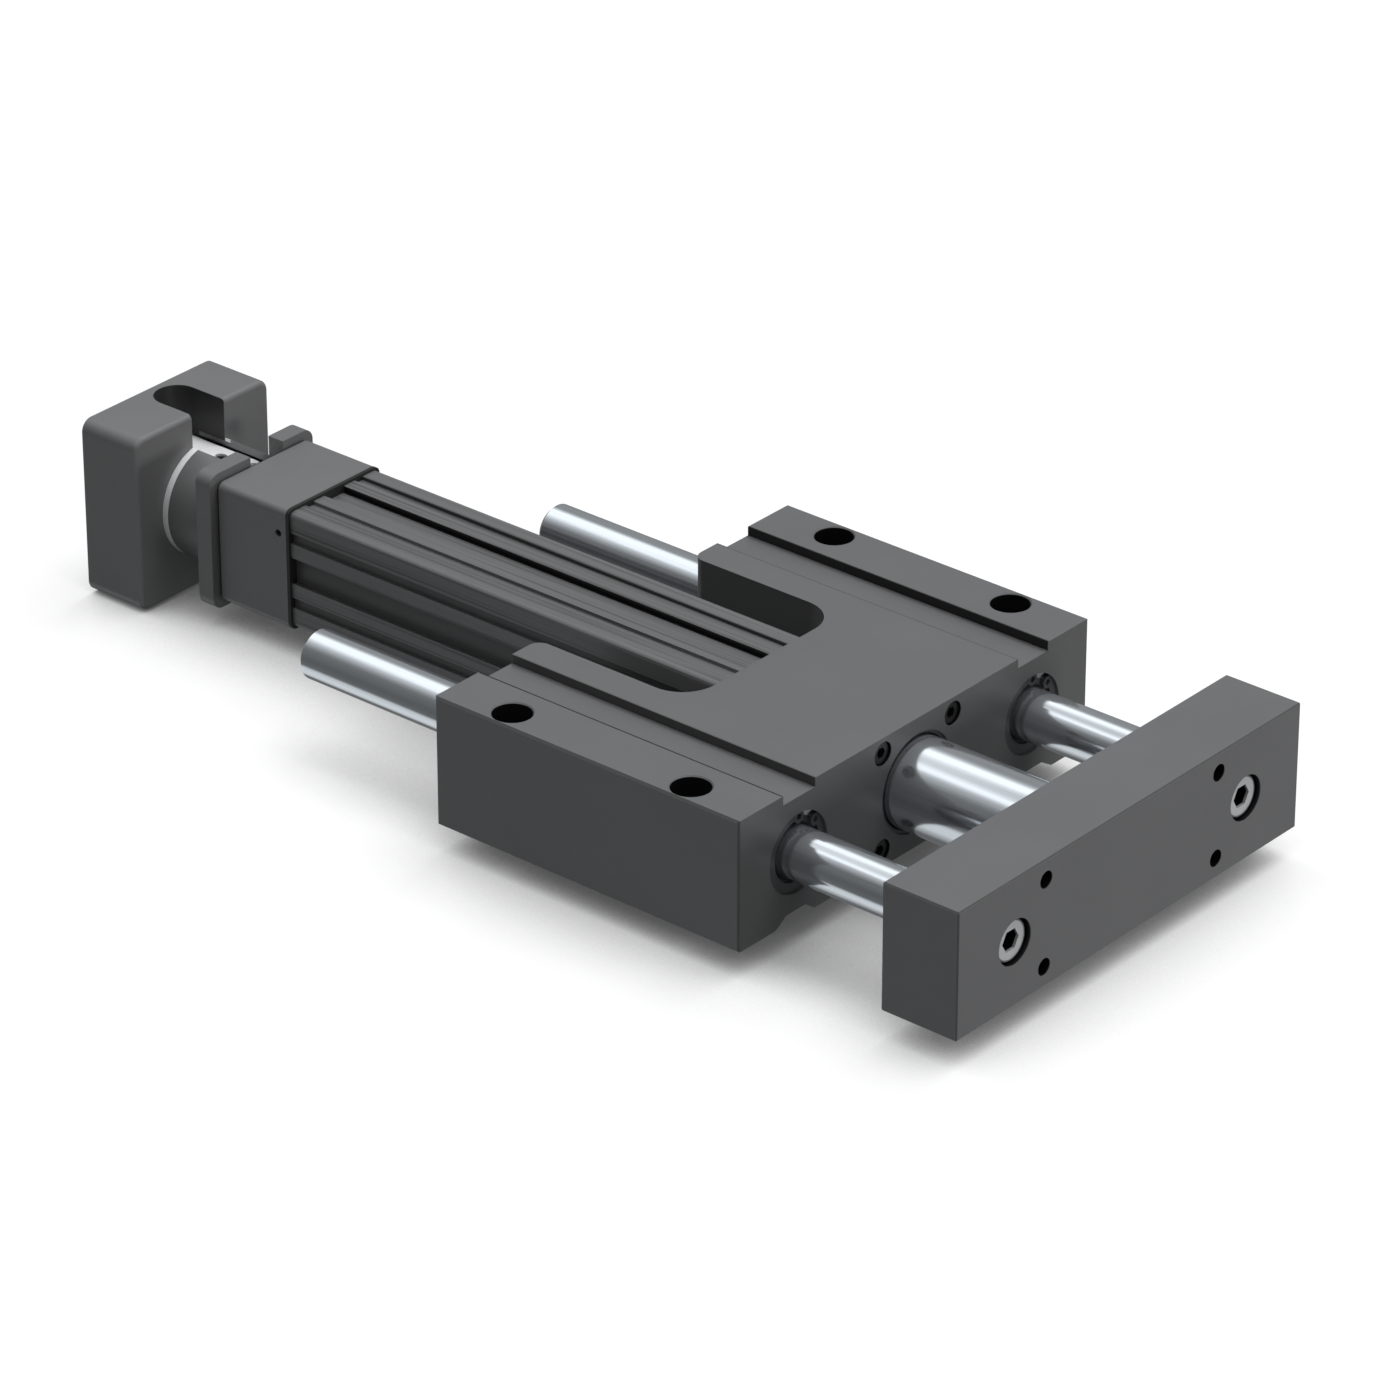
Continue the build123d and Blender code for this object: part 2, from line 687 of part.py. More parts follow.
def mount_screw(turn):
    """Set screw that holds the neck's tail in the motor mount."""
    low = neck_tail_d / 2
    high = low + mount_screw_length
    socket = extrude(RegularPolygon(mount_screw_hex / 2, 6, False), mount_screw_hex_depth)
    socket = Rot(turn, 0, 0) * Pos(0, 0, high - mount_screw_hex_depth) * socket
    body = radial_bar(mount_screw_x, low, high, mount_screw_d / 2, turn)
    return body - Pos(mount_screw_x, 0, axis_z) * socket


def hub_jaws(x0, x1, turn):
    """Jaws of one coupling hub: sectors that leave room for the spider's legs."""
    half = (180 / jaw_count - spider_leg_angle) / 2
    jaws = None
    for i in range(jaw_count):
        centre = 360 / jaw_count * i + turn + jaw_turn
        ring = Circle(coupling_d / 2) - Circle(jaw_core_share * coupling_d / 2)
        jaw = extrude(section(x0) * (ring & wedge(coupling_d, centre - half, centre + half)), x1 - x0)
        jaws = jaw if jaws is None else jaws + jaw
    return jaws


def coupling_hub(x0, x1, bore_d, outer_end):
    """Body of a coupling hub: bored cylinder with a radial hole for its set screw."""
    body = sleeve(x0, x1, coupling_d / 2, bore_d / 2 + running_gap)
    ends = [e for e in body.edges().filter_by(GeomType.CIRCLE) if abs(e.center().X - outer_end) < 0.01]
    body = chamfer([e for e in ends if e.radius > bore_d], hub_chamfer)
    drill_h = coupling_d / 2
    return body - Pos((x0 + x1) / 2, 0, axis_z + drill_h / 2) * Cylinder(hub_screw_d / 2 + screw_gap, drill_h)


def hub_screw(x, bore_d):
    """Set screw from the hub's rim down to its bore."""
    low = bore_d / 2 + running_gap
    high = coupling_d / 2 - hub_screw_sink
    body = Pos(x, 0, axis_z + (low + high) / 2) * Cylinder(hub_screw_d / 2, high - low)
    socket = extrude(RegularPolygon(hub_screw_hex / 2, 6, False), hub_screw_hex_depth)
    return body - Pos(x, 0, axis_z + high - hub_screw_hex_depth) * socket


def spider():
    """Elastomer star between the jaws of the two hubs."""
    start = jaw_rear + joint_gap
    length = spider_length - 2 * joint_gap
    star = Circle(jaw_core_share * coupling_d / 2 - joint_gap)
    half = spider_leg_angle / 2 - spider_leg_gap
    for i in range(2 * jaw_count):
        centre = 180 / jaw_count * (i + 0.5) + jaw_turn
        star += Circle(coupling_d / 2 - spider_rim_gap) & wedge(coupling_d, centre - half, centre + half)
    star -= Circle(spider_bore_share * coupling_d / 2)
    return extrude(section(start) * star, length)


def stud():
    """Threaded stud between the thrust rod and the tool plate."""
    return bar(thrust_front - stud_grip, thrust_front + stud_grip - stud_end_gap, stud_d / 2)


# Values shared by more than one piece
thrust_rod_bore_r = tube_bore_d / 2
thrust_run_r = thrust_rod_d / 2 + running_gap
flange_head_seat = flange_rear + flange_head_sink
mount_screw_x = mount_front - mount_screw_from_front
mount_screw_turns = (-90, 180)
grub_x = housing_front - grub_from_front
grub_z = axis_z + grub_above_axis
bush_outer = thrust_rod_bore_r - seat_gap
bumper_outer = tube_bore_d / 2 - seat_gap
front_bush_x = slot_wall + bush_length + bush_spacing
seal_x = front_bush_x + bush_length
wiper_x = seal_x + rod_seal_length
ring_places = (block_rear + ring_edge, block_front - ring_edge - ring_thickness)
rear_bushing_x = ring_places[0] + ring_thickness
front_bushing_x = ring_places[1] - bushing_length
front_screw_seat = block_front - tube_screw_d - head_sink
front_screw_tip = slot_wall - thread_engagement
rear_screw_tip = tube_rear + thread_engagement
rear_bumper_x = tube_rear + housing_spigot
plate_seat = plate_front - plate_head_depth

# Guide block and everything fixed in its bores
parts["guide_block"] = guide_block()
for name, side in (("near", -1), ("far", 1)):
    parts[f"bushing_{name}_rear"] = bushing(rear_bushing_x, side * rod_y)
    parts[f"bushing_{name}_front"] = bushing(front_bushing_x, side * rod_y)
bushing_ends = [(x, side * rod_y) for side in (-1, 1) for x in (rear_bushing_x, front_bushing_x)]
parts["bushing_cages"] = Compound([bushing_cage(x, y).solid() for x, y in bushing_ends])
wiper_shifts = (wiper_recess, bushing_length - wiper_length - wiper_recess)
wipers = [bushing_wiper(x + shift, y) for x, y in bushing_ends for shift in wiper_shifts]
parts["bushing_wipers"] = Compound([wiper.solid() for wiper in wipers])
rings = [retaining_ring(x, side * rod_y, x) for side in (-1, 1) for x in ring_places]
parts["retaining_rings"] = Compound([ring.solid() for ring in rings])
parts["rod_bush_rear"] = sleeve(slot_wall, slot_wall + bush_length, bush_outer, thrust_run_r)
parts["rod_bush_front"] = sleeve(front_bush_x, seal_x, bush_outer, thrust_run_r)
lip_r = thrust_run_r + seal_lip
wiper_end = wiper_x + rod_wiper_length
parts["rod_seal"] = turned([(seal_x, bush_outer), (seal_x, lip_r), (seal_x + seal_edge, thrust_run_r),
                            (wiper_x, lip_r), (wiper_x, bush_outer)])
parts["rod_wiper"] = turned([(wiper_x, bush_outer), (wiper_x, lip_r), (wiper_end - seal_edge, thrust_run_r),
                             (wiper_end, thrust_run_r + seal_lip / 2), (wiper_end, bush_outer)])

# Tube, bearing housing and motor side
parts["actuator_tube"] = actuator_tube()
parts["front_bumper"] = sleeve(bumper_face, slot_wall, bumper_outer, thrust_rod_d / 2 + bumper_rod_gap)
rear_bumper_end = rear_bumper_x + bumper_length
parts["rear_bumper"] = sleeve(rear_bumper_x, rear_bumper_end, bumper_outer, nut_d / 2 + bumper_nut_gap)
gasket_side = housing_side + gasket_overhang
parts["housing_gasket"] = frame_gasket(housing_front, tube_rear, gasket_side, tube_bore_d / 2)
parts["bearing_housing"] = bearing_housing()
seal_side = housing_side - flange_seal_inset
parts["flange_seal"] = frame_gasket(flange_front, housing_rear, seal_side, bearing_od / 2)
parts["bearing_outer_rings"] = Compound([bearing_ring(i, True).solid() for i in range(bearing_count)])
parts["bearing_clamp_ring"] = bearing_clamp_ring()
parts["coupling_housing"] = coupling_housing()
parts["centring_ring"] = centring_ring()
parts["motor_mount"] = motor_mount()
parts["grease_screw"] = grease_screw()
tube_screws = [cap_screw(front_screw_seat, front_screw_tip, tube_screw_d, y, z)
               for y, z in cross_places(tube_screw_offset)]
parts["tube_screws"] = Compound([screw.solid() for screw in tube_screws])
housing_screws = [cap_screw(flange_head_seat, rear_screw_tip, tube_screw_d, y, z)
                  for y, z in cross_places(tube_screw_offset)]
parts["housing_screws"] = Compound([screw.solid() for screw in housing_screws])
parts["mount_screws"] = Compound([mount_screw(turn).solid() for turn in mount_screw_turns])

# Carriage: tool plate, rods, carrier and nut
parts["tool_plate"] = tool_plate()
parts["guide_rod_near"] = guide_rod(-rod_y)
parts["guide_rod_far"] = guide_rod(rod_y)
plate_screws = [cap_screw(plate_seat, rod_front - plate_screw_grip, plate_screw_d, side * rod_y, axis_z)
                for side in (-1, 1)]
parts["plate_screws"] = Compound([screw.solid() for screw in plate_screws])
parts["thrust_rod"] = thrust_rod()
parts["rod_end_stud"] = stud()
parts["nut_carrier"] = nut_carrier()
parts["wear_ring"] = carrier_ring(wear_ring_offset, wear_ring_length, running_gap)
parts["magnet_ring"] = carrier_ring(magnet_ring_offset, magnet_ring_length, carrier_gap)
parts["ball_nut"] = ball_nut()

# Screw line: screw, bearing inner rings and coupling
parts["ball_screw"] = ball_screw()
parts["screw_tip_bush"] = screw_tip_bush()
parts["bearing_inner_rings"] = Compound([bearing_ring(i, False).solid() for i in range(bearing_count)])
parts["bearing_locknut"] = bearing_locknut()
parts["coupling_hub_screw"] = coupling_hub(jaw_front, hub_front, journal_d, hub_front)
parts["coupling_hub_screw"] += hub_jaws(jaw_rear + joint_gap, jaw_front, 0)
parts["coupling_hub_motor"] = coupling_hub(hub_rear, jaw_rear, motor_shaft_d, hub_rear)
parts["coupling_hub_motor"] += hub_jaws(jaw_rear, jaw_front - joint_gap, 180 / jaw_count)
parts["coupling_spider"] = spider()
hub_screws = [hub_screw((jaw_front + hub_front) / 2, journal_d),
              hub_screw((hub_rear + jaw_rear) / 2, motor_shaft_d)]
parts["coupling_set_screws"] = Compound([screw.solid() for screw in hub_screws])

for node, shape in parts.items():
    export_step(shape, f"parts/{node}.step")
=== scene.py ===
"""Guided rod electric actuator: looks, light and camera round the CAD frame. Lengths are metres."""
import json
import math

import bpy
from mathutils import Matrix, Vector

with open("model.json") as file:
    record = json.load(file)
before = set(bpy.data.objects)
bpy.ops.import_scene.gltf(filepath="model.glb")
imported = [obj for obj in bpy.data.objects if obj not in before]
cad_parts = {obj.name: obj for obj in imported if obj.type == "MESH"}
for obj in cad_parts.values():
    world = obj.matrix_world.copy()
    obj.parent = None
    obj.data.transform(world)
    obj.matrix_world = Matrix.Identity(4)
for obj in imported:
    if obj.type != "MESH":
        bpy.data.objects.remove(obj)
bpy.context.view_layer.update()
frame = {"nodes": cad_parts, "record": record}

# Camera of the photograph, in the part's frame
STATION = Vector((1.4653, -1.7668, 1.2779))
TARGET = Vector((-0.0283, -0.0031, 0.0265))
LENS_MM = 184.0
SENSOR_MM = 36.0
CLIP_START = 0.05
CLIP_END = 50.0

# Places on the solids that the finishes follow. A hole's or screw's pair is its distance from the
# part's middle along each of two axes, and a wall's or slot's pair is where it begins and ends
AXIS_Z = 0.0265
BLOCK_TOP = 0.053
BLOCK_FRONT = 0.0715
BLOCK_HALF = 0.1
BLOCK_CHAMFER = 0.0008
MOUNT_HOLE = (0.042, 0.091)
COUNTERBORE_RADIUS = 0.0076
FRONT_SCREW = (0.02, 0.02)
POCKET_RADIUS = 0.00485
POCKET_END = 0.06
RELIEF_FLOOR = BLOCK_TOP - 0.0037
RELIEF_INNER = 0.058
RELIEF_OUTER = 0.0758
BAY_HALF = 0.0435
BAY_END = 0.0
PLATE_FRONT = 0.1685
PLATE_HALF = 0.099
PLATE_HALF_HEIGHT = 0.02575
PLATE_HALF_THICK = 0.01675
PLATE_CHAMFER = 0.0006
TAPPED_HOLE = (0.05, 0.0175)
TAPPED_RADIUS = 0.0035
CAP_SCREW = (0.067, 0.0)
CAP_GAP_RADIUS = 0.00905
CAP_FACE_RADIUS = 0.0074
SOCKET_RADIUS = 0.0047
SOCKET_MOUTH = PLATE_FRONT - 0.0031
TUBE_HALF = 0.0245
TUBE_SLOT_FLOOR = 0.0205
CENTRE_SLOT_WALL = (0.005, 0.007)
SIDE_SLOT_EDGE = 0.016
ACCESS_SLOT_Y = 0.003
ACCESS_SLOT_HALF = 0.0092
ACCESS_SLOT_TOP = 0.0633
ACCESS_SLOT_ENDS = (-0.3082, -0.2824)
WIPER_RUBBER_RADIUS = 0.0189

# How far a mask begins inside an edge, stops short of the next face, or reaches to both sides of a wall
CHAMFER_START = 0.00004
SKIN = 0.0001
LIP = 0.0003
WALL_REACH = 0.0004

# Greys and colours of painted shade in hollows, on walls, on edges and on the block's front, and the wiper
# case's own grey
PAINTED_HOLE_SHADE = 0.004
PAINTED_WALL_SHADE = 0.012
PAINTED_ACCESS_SLOT_SHADE = 0.04
PAINTED_SIDE_SLOT_SHADE = 0.06
PAINTED_RELIEF_WALL_SHADE = 0.07
PAINTED_CHAMFER_SHADE = 0.09
PAINTED_BAY_SHADE = 0.1
PAINTED_TUBE_SIDE_SHADE = 0.1
PAINTED_RIM_SHADOW = 0.11
PAINTED_BLOCK_FRONT_SHADE = 0.14
PAINTED_CAP_RIM_SHADE = (0.16, 0.165, 0.17)
WIPER_CASE_COLOUR = (0.1, 0.1, 0.102)

# Noise values from which a pattern begins and at which it is full
NOISE_SPAN = (0.3, 0.7)
STREAK_SPAN = (0.5, 0.68)
STREAK_SHARE = 0.3
GRAIN_HEIGHT = 0.0002

# Floor: what it glows and reflects to the camera, the contact shadow painted into that glow, and what it
# throws back on the part
FLOOR_Z = -0.0112
FLOOR_SIZE = 12
FLOOR_GLOW = 0.75
FLOOR_SHOWN = 0.27
FLOOR_BOUNCE = 0.2
PAINTED_SHADOW_REACH = 0.1
PAINTED_SHADOW_SAMPLES = 8
PAINTED_SHADOW_SPAN = (0.2, 0.74)
PAINTED_SHADOW_GLOW = 0.08

# Sky: its height where the light begins, and its strength there and straight above
SKY_TINT = (0.97, 0.985, 1.0)
SKY_START = 0.25
SKY_LOW = 0.04
SKY_HIGH = 1.0

# Reflected studio: elevation in degrees -> light, on the near (-Y) and the far (+Y) side
DOME_RADIUS = 5.0
DOME_BLEND = 0.1
DOME_LIGHT = 1.4
DOME_TINT = (0.95, 0.985, 1.0)
NEAR_BANDS = ((-90, 0.12), (-62, 0.2), (-50, 0.85), (-36, 0.8), (-28, 0.15), (-5, 0.1), (30, 0.15),
              (38, 0.3), (44, 0.5), (49, 0.7), (51, 1.4), (55, 1.4), (60, 0.5), (90, 0.4))
FAR_BANDS = ((-90, 0.12), (-45, 0.16), (-25, 0.2), (5, 0.24), (36, 0.26), (43, 0.7), (46, 1.4),
             (55, 1.4), (60, 0.5), (90, 0.4))


def tone(value):
    """Grey or colour as a colour socket's value."""
    if isinstance(value, (int, float)):
        return (value, value, value, 1.0)
    return (*value, 1.0)


def even(scale):
    """The same noise scale along all three axes."""
    return (scale, scale, scale)


class Nodes:
    """A material's or world's node tree, with short calls for the nodes used here."""

    def __init__(self, owner):
        owner.use_nodes = True
        self.nodes = owner.node_tree.nodes
        self.links = owner.node_tree.links
        self.nodes.clear()
        self.coords = None

    def feed(self, socket, value):
        """Links an output to a socket, or sets the socket's own value."""
        if isinstance(value, bpy.types.NodeSocket):
            self.links.new(value, socket)
        else:
            socket.default_value = value

    def output(self, shader, kind="Material"):
        """Puts a shader on the tree's surface output."""
        node = self.nodes.new(f"ShaderNodeOutput{kind}")
        self.links.new(shader, node.inputs["Surface"])

    def math(self, operation, a, b=0.0):
        node = self.nodes.new("ShaderNodeMath")
        node.operation = operation
        self.feed(node.inputs[0], a)
        self.feed(node.inputs[1], b)
        return node.outputs["Value"]

    def place(self, kind="Object"):
        """The point in the piece's own frame."""
        if self.coords is None:
            self.coords = self.nodes.new("ShaderNodeTexCoord")
        return self.coords.outputs[kind]

    def split(self, vector):
        """The X, Y and Z of a vector."""
        node = self.nodes.new("ShaderNodeSeparateXYZ")
        self.links.new(vector, node.inputs["Vector"])
        return node.outputs["X"], node.outputs["Y"], node.outputs["Z"]

    def noise(self, scale, detail=3.0, rough=0.55):
        """Noise over the stretched object coordinates, so that the pattern is fixed to the piece."""
        mapping = self.nodes.new("ShaderNodeMapping")
        mapping.inputs["Scale"].default_value = scale
        self.links.new(self.place(), mapping.inputs["Vector"])
        texture = self.nodes.new("ShaderNodeTexNoise")
        texture.inputs["Scale"].default_value = 1.0
        texture.inputs["Detail"].default_value = detail
        texture.inputs["Roughness"].default_value = rough
        self.links.new(mapping.outputs["Vector"], texture.inputs["Vector"])
        return texture.outputs["Fac"]

    def remap(self, value, span, low, high, smooth=False):
        """Maps the span's two ends to low and high, and holds the value beyond them."""
        node = self.nodes.new("ShaderNodeMapRange")
        node.interpolation_type = "SMOOTHSTEP" if smooth else "LINEAR"
        self.feed(node.inputs["Value"], value)
        node.inputs["From Min"].default_value, node.inputs["From Max"].default_value = span
        node.inputs["To Min"].default_value = low
        node.inputs["To Max"].default_value = high
        return node.outputs["Result"]

    def mix(self, factor, a, b):
        node = self.nodes.new("ShaderNodeMix")
        node.data_type = "RGBA"
        self.feed(node.inputs["Factor"], factor)
        self.feed(node.inputs["A"], a)
        self.feed(node.inputs["B"], b)
        return node.outputs["Result"]

    def below(self, value, limit):
        return self.math("LESS_THAN", value, limit)

    def above(self, value, limit):
        return self.math("GREATER_THAN", value, limit)

    def both(self, a, b):
        return self.math("MULTIPLY", a, b)

    def either(self, a, b):
        return self.math("MAXIMUM", a, b)

    def gap(self, limit, value):
        """How far a coordinate is short of a limit."""
        return self.math("SUBTRACT", limit, value)

    def outside(self, mask):
        return self.math("SUBTRACT", 1.0, mask)

    def between(self, value, low, high):
        return self.both(self.above(value, low), self.below(value, high))

    def chamfer(self, gap_u, gap_v, width):
        """1 on the sloped face of an edge, from a point's depth behind the edge's two faces."""
        end = width + CHAMFER_START
        return self.both(self.between(gap_u, CHAMFER_START, end), self.between(gap_v, CHAMFER_START, end))

    def folded(self, value, centre=0.0):
        """Distance of a coordinate from a mirror plane."""
        return self.math("ABSOLUTE", self.math("SUBTRACT", value, centre))

    def near_axis(self, u, v, spot, radius):
        """1 inside a cylinder about the axis through the spot (u, v)."""
        du = self.math("SUBTRACT", u, spot[0])
        dv = self.math("SUBTRACT", v, spot[1])
        square = self.math("ADD", self.both(du, du), self.both(dv, dv))
        return self.below(square, radius * radius)

    def shade(self, colour, metallic, roughness, normal):
        """Principled shader as the surface of the material."""
        shader = self.nodes.new("ShaderNodeBsdfPrincipled")
        shader.inputs["Metallic"].default_value = metallic
        self.feed(shader.inputs["Base Color"], colour)
        self.feed(shader.inputs["Roughness"], roughness)
        self.feed(shader.inputs["Normal"], normal)
        self.output(shader.outputs["BSDF"])


def surface(name, colour, metallic, roughness, grain, cloud=even(25), depth=0.02, vary=0.08,
            rough_vary=0.05, marks_and_shade=None, streaks=None):
    """Procedural finish: a base colour that varies softly, with grain in its roughness and its relief.

    grain and cloud are noise scales along X, Y and Z. The function for marks and shade gives (mask, colour)
    pairs for places with another colour, painted shade or the piece's own colour, the later ones on top.
    streaks is (noise scale, strength).
    """
    material = bpy.data.materials.new(name)
    n = Nodes(material)
    soft = n.remap(n.noise(cloud), NOISE_SPAN, 0.0, 0.5)
    fine = n.noise(grain, detail=4.0, rough=0.6)
    blend = n.math("ADD", soft, n.remap(fine, NOISE_SPAN, 0.0, 0.5))
    low = [c * (1 - vary) for c in colour]
    high = [min(1.0, c * (1 + vary)) for c in colour]
    base = n.mix(blend, tone(low), tone(high))
    if streaks:
        scale, strength = streaks
        line = n.remap(n.noise(scale, detail=5.0, rough=0.7), STREAK_SPAN, 0.0, strength, smooth=True)
        base = n.mix(line, base, tone([c * STREAK_SHARE for c in colour]))
    # Places of painted shade, or of the piece's own other colour, go over the base colour
    for mask, other in (marks_and_shade(n) if marks_and_shade else ()):
        base = n.mix(mask, base, tone(other))
    bump = n.nodes.new("ShaderNodeBump")
    bump.inputs["Strength"].default_value = depth
    bump.inputs["Distance"].default_value = GRAIN_HEIGHT
    n.links.new(fine, bump.inputs["Height"])
    rough = n.remap(fine, NOISE_SPAN, roughness - rough_vary, roughness + rough_vary)
    n.shade(base, metallic, rough, bump.outputs["Normal"])
    return material


def block_painted_shade(n):
    """Painted shade on the guide block: its front face, dark lines on the chamfers, bay walls, relief groove
    walls and a line along their rim, counterbores and screw pockets.
    """
    x, y, z = n.split(n.place())
    ax, ay, az = n.folded(x), n.folded(y), n.folded(z, AXIS_Z)
    bores = n.both(n.near_axis(ax, ay, MOUNT_HOLE, COUNTERBORE_RADIUS), n.below(z, BLOCK_TOP - LIP))
    pockets = n.both(n.near_axis(ay, az, FRONT_SCREW, POCKET_RADIUS),
                     n.between(x, POCKET_END, BLOCK_FRONT - LIP))
    inner = n.both(n.between(z, RELIEF_FLOOR + SKIN, BLOCK_TOP - SKIN),
                   n.below(n.folded(ay, RELIEF_INNER), WALL_REACH))
    outer = n.both(n.above(z, RELIEF_FLOOR + SKIN),
                   n.below(n.folded(ay, RELIEF_OUTER + SKIN), WALL_REACH + SKIN))
    rim = n.both(n.above(z, BLOCK_TOP - SKIN), n.below(n.folded(ay, RELIEF_INNER - LIP), LIP))
    bay = n.both(n.below(ay, BAY_HALF + SKIN), n.below(x, BAY_END + SKIN))
    bay = n.both(bay, n.below(z, BLOCK_TOP - SKIN))
    side_gap = n.gap(BLOCK_HALF, ay)
    long_edges = n.chamfer(side_gap, n.gap(AXIS_Z, az), BLOCK_CHAMFER)
    corners = n.chamfer(side_gap, n.gap(BLOCK_FRONT, ax), BLOCK_CHAMFER)
    body = n.below(ax, BLOCK_FRONT - 2 * SKIN)
    # The front face is painted in the shade that the tool plate casts on it
    return [(n.above(x, BLOCK_FRONT - SKIN), PAINTED_BLOCK_FRONT_SHADE),
            (n.either(long_edges, corners), PAINTED_CHAMFER_SHADE),
            (n.both(bay, body), PAINTED_BAY_SHADE),
            (n.both(inner, body), PAINTED_RELIEF_WALL_SHADE),
            (rim, PAINTED_RIM_SHADOW),
            (n.both(outer, body), PAINTED_WALL_SHADE),
            (n.either(bores, pockets), PAINTED_HOLE_SHADE)]


def plate_painted_shade(n):
    """Painted shade on the tool plate: dark lines on the chamfers, in the tapped holes and in the gap round
    the screw heads.
    """
    x, y, z = n.split(n.place())
    ay, az = n.folded(y), n.folded(z, AXIS_Z)
    holes = n.near_axis(ay, az, TAPPED_HOLE, TAPPED_RADIUS)
    gaps = n.near_axis(ay, az, CAP_SCREW, CAP_GAP_RADIUS)
    side_gap = n.gap(PLATE_HALF, ay)
    flat_gap = n.gap(PLATE_HALF_HEIGHT, az)
    end_gap = n.gap(PLATE_HALF_THICK, n.folded(x, PLATE_FRONT - PLATE_HALF_THICK))
    edges = n.either(n.chamfer(side_gap, flat_gap, PLATE_CHAMFER), n.chamfer(side_gap, end_gap, PLATE_CHAMFER))
    edges = n.either(edges, n.chamfer(flat_gap, end_gap, PLATE_CHAMFER))
    return [(edges, PAINTED_CHAMFER_SHADE),
            (n.both(n.either(holes, gaps), n.below(x, PLATE_FRONT - LIP)), PAINTED_HOLE_SHADE)]


def cap_screw_painted_shade(n):
    """Painted shade in the hex sockets and on the rims of the plate's cap screws."""
    x, y, z = n.split(n.place())
    ay, az = n.folded(y), n.folded(z, AXIS_Z)
    socket = n.both(n.near_axis(ay, az, CAP_SCREW, SOCKET_RADIUS), n.below(x, SOCKET_MOUTH))
    rim = n.outside(n.near_axis(ay, az, CAP_SCREW, CAP_FACE_RADIUS))
    return [(rim, PAINTED_CAP_RIM_SHADE), (socket, PAINTED_HOLE_SHADE)]


def tube_painted_shade(n):
    """Painted shade on the extruded tube: on its sides where they lie in from the outer faces, and on the slot
    walls in its top and underside.
    """
    x, y, z = n.split(n.place())
    ay, az = n.folded(y), n.folded(z, AXIS_Z)
    across = n.between(az, TUBE_SLOT_FLOOR, TUBE_HALF - LIP)
    centre = n.both(across, n.between(ay, *CENTRE_SLOT_WALL))
    edge = n.both(across, n.below(n.folded(ay, SIDE_SLOT_EDGE), LIP))
    sides = n.both(n.below(ay, TUBE_HALF - WALL_REACH), n.below(az, TUBE_SLOT_FLOOR))
    return [(sides, PAINTED_TUBE_SIDE_SHADE), (edge, PAINTED_SIDE_SLOT_SHADE), (centre, PAINTED_WALL_SHADE)]


def mount_painted_shade(n):
    """Painted shade on the walls of the motor mount's access slot."""
    x, y, z = n.split(n.place())
    slot = n.both(n.below(n.folded(y, ACCESS_SLOT_Y), ACCESS_SLOT_HALF),
                  n.between(z, AXIS_Z, ACCESS_SLOT_TOP))
    return [(n.both(slot, n.between(x, *ACCESS_SLOT_ENDS)), PAINTED_ACCESS_SLOT_SHADE)]


def wiper_marks(n):
    """Grey metal case round the thrust rod's rubber wiper."""
    x, y, z = n.split(n.place())
    return [(n.outside(n.near_axis(y, z, (0.0, AXIS_Z), WIPER_RUBBER_RADIUS)), WIPER_CASE_COLOUR)]


